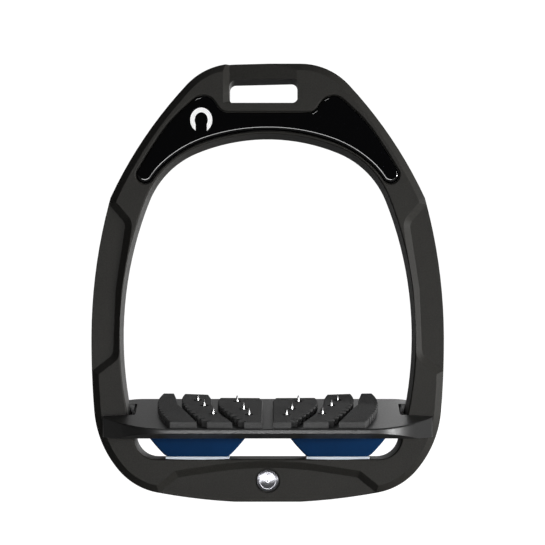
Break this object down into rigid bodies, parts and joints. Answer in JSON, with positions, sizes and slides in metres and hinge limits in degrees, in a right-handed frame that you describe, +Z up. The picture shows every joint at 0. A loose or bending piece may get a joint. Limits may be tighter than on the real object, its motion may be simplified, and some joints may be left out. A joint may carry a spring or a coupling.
{
  "type": "stirrup iron",
  "caption": "Riding stirrup with a bowed one-piece frame, offset leather eye, magnetic inlay plates and an inclined studded tread floating on elastomer dampers.",
  "frame": {"origin": "middle of the flat underside of the base bar, on the mid-plane of the frame", "axes": "+Z up towards the leather eye, +X across the foot opening, -Y towards the front face with the badge (the toe side), +Y towards the rear"},
  "size_m": [0.1498, 0.0655, 0.1865],
  "materials": {
    "composite": "fine matte moulded grain, carbon-filled nylon",
    "gloss_insert": "polished black lacquer",
    "white_inlay": "white enamel",
    "badge_chrome": "polished with turned rings",
    "tread_black": "satin moulded",
    "magnet_nickel": "nickel plated",
    "plain_steel": "plain zinc plated",
    "damper_blue": "matte elastomer",
    "bush_white": "natural nylon",
    "screw_steel": "stainless",
    "insert_brass": "knurled",
    "grip_rubber": "fine sandy grip surface",
    "stud_steel": "bright stainless"
  },
  "bodies": {
    "frame": {"frame": "composite", "front_frame_magnets": "magnet_nickel", "rear_frame_magnets": "magnet_nickel", "badge": "badge_chrome", "damper_left": "damper_blue", "damper_right": "damper_blue", "guide_bush_left": "bush_white", "guide_bush_right": "bush_white"},
    "left_hanger": {"screw_left": "screw_steel", "washer_left": "screw_steel"},
    "tread": {"tread_plate": "tread_black", "grip_block_outer_left": "grip_rubber", "grip_block_outer_right": "grip_rubber", "grip_block_middle_left": "grip_rubber", "grip_block_middle_right": "grip_rubber", "grip_block_inner_left": "grip_rubber", "grip_block_inner_right": "grip_rubber", "stud_1_left": "stud_steel", "stud_1_right": "stud_steel", "stud_2_left": "stud_steel", "stud_2_right": "stud_steel", "stud_3_left": "stud_steel", "stud_3_right": "stud_steel", "stud_4_left": "stud_steel", "stud_4_right": "stud_steel", "stud_5_left": "stud_steel", "stud_5_right": "stud_steel", "stud_6_left": "stud_steel", "stud_6_right": "stud_steel", "threaded_insert_left": "insert_brass", "threaded_insert_right": "insert_brass", "screw_right": "screw_steel", "washer_right": "screw_steel"},
    "front_insert": {"front_insert": "gloss_insert", "insert_emblem": "white_inlay", "front_insert_discs": "plain_steel"},
    "rear_insert": {"rear_insert": "gloss_insert", "rear_insert_discs": "plain_steel"}
  },
  "joints": [
    {"name": "left_damper_press", "type": "hinge", "parent": "frame", "child": "left_hanger", "pos_m": [0.0298, 0, 0.028], "axis": [0, -1, 0], "range_deg": [0, 2.77], "stiffness_Nm_per_rad": 140, "springref_deg": -0.11, "deforming": ["damper_left"]},
    {"name": "right_damper_press", "type": "hinge", "parent": "left_hanger", "child": "tread", "pos_m": [-0.0298, 0, 0.028], "axis": [0, 1, 0], "range_deg": [0, 2.77], "stiffness_Nm_per_rad": 140, "springref_deg": -0.11, "deforming": ["damper_right"]},
    {"name": "front_insert_pull", "type": "slide", "parent": "frame", "child": "front_insert", "axis": [0, -1, 0], "range_m": [0, 0.02]},
    {"name": "rear_insert_pull", "type": "slide", "parent": "frame", "child": "rear_insert", "axis": [0, 1, 0], "range_m": [0, 0.02]}
  ]
}
